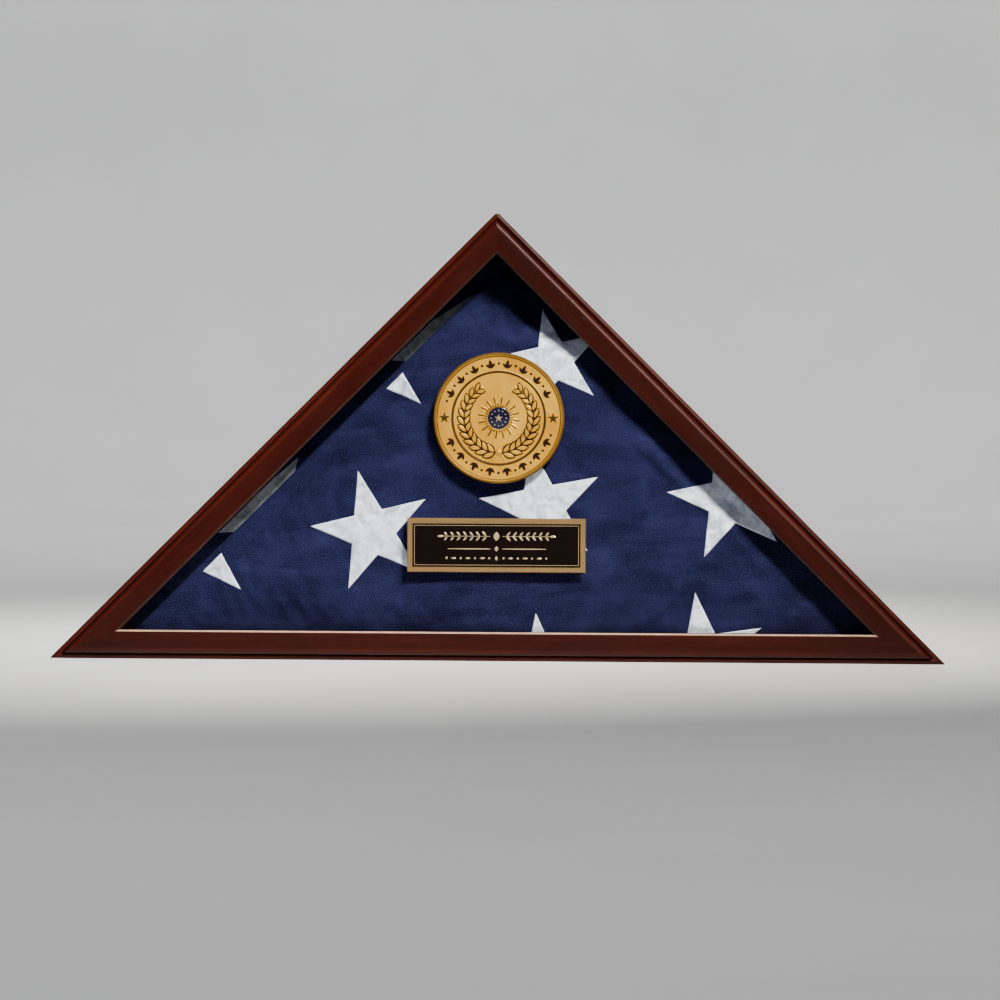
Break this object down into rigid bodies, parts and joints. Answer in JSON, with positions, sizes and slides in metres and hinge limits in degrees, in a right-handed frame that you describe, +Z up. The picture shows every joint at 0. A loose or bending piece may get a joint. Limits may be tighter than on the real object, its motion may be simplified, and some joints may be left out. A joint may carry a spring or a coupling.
{
  "type": "folded flag display case",
  "caption": "Triangular wooden case with a glass front for a folded ceremonial flag, with a round medallion, a nameplate and a removable back.",
  "frame": {"origin": "middle of the underside of the base rail, halfway between the front and rear faces of the wooden rails", "axes": "+X along the base towards the viewer's right, +Y from the glass front towards the back panel, +Z up towards the apex"},
  "size_m": [0.6528, 0.0859, 0.3258],
  "materials": {
    "rail_wood": "dark mahogany stain under satin lacquer",
    "strip_wood": "stained, unlacquered softwood strip",
    "glass": "clear float glass",
    "steel": "zinc-plated steel",
    "button_brass": "brass-plated, lightly brushed",
    "tape": "foam tape",
    "medallion_gold": "satin gold plating over a struck relief, darkened in the recesses",
    "medallion_blue": "glossy blue enamel drop",
    "plate_brass": "brushed brass",
    "plate_black": "satin black coating cut through to brass lines",
    "hardboard": "tempered hardboard",
    "felt": "thin black felt",
    "flag_cloth": "navy woven cotton with embroidered white stars"
  },
  "bodies": {
    "case": {"base_rail": "rail_wood", "left_rail": "rail_wood", "right_rail": "rail_wood", "glass_strip_base": "strip_wood", "glass_strip_left": "strip_wood", "glass_strip_right": "strip_wood", "corner_v_nails": "steel", "glass_strip_brads": "steel", "glass_pane": "glass", "medallion_tape": "tape", "medallion_disc": "medallion_gold", "medallion_enamel": "medallion_blue", "nameplate_tape": "tape", "nameplate_base": "plate_brass", "nameplate_panel": "plate_black", "turn_button_washers": "steel", "turn_button_screws": "steel"},
    "back_panel": {"back_panel": "hardboard", "back_panel_felt": "felt"},
    "flag": {"folded_flag": "flag_cloth"},
    "turn_button_1": {"turn_button_1": "button_brass"},
    "turn_button_2": {"turn_button_2": "button_brass"},
    "turn_button_3": {"turn_button_3": "button_brass"},
    "turn_button_4": {"turn_button_4": "button_brass"},
    "turn_button_5": {"turn_button_5": "button_brass"},
    "turn_button_6": {"turn_button_6": "button_brass"}
  },
  "joints": [
    {"name": "flag_slide", "type": "slide", "parent": "case", "child": "flag", "axis": [0, 1, 0], "range_m": [0, 0.11]},
    {"name": "back_panel_lift_off", "type": "slide", "parent": "case", "child": "back_panel", "axis": [0, 1, 0], "range_m": [0, 0.22]},
    {"name": "turn_button_1_pivot", "type": "hinge", "parent": "case", "child": "turn_button_1", "pos_m": [-0.1635, 0.0425, 0.0043], "axis": [0, -1, 0], "range_deg": [0, 90]},
    {"name": "turn_button_2_pivot", "type": "hinge", "parent": "case", "child": "turn_button_2", "pos_m": [0.1635, 0.0425, 0.0043], "axis": [0, -1, 0], "range_deg": [0, 90]},
    {"name": "turn_button_3_pivot", "type": "hinge", "parent": "case", "child": "turn_button_3", "pos_m": [0.24221, 0.0425, 0.07871], "axis": [0, -1, 0], "range_deg": [0, 90]},
    {"name": "turn_button_4_pivot", "type": "hinge", "parent": "case", "child": "turn_button_4", "pos_m": [0.07871, 0.0425, 0.24221], "axis": [0, -1, 0], "range_deg": [0, 90]},
    {"name": "turn_button_5_pivot", "type": "hinge", "parent": "case", "child": "turn_button_5", "pos_m": [-0.07871, 0.0425, 0.24221], "axis": [0, -1, 0], "range_deg": [0, 90]},
    {"name": "turn_button_6_pivot", "type": "hinge", "parent": "case", "child": "turn_button_6", "pos_m": [-0.24221, 0.0425, 0.07871], "axis": [0, -1, 0], "range_deg": [0, 90]}
  ],
  "couplings": [
    {"joint": "back_panel_lift_off", "follows": "flag_slide", "ratio": 2}
  ]
}
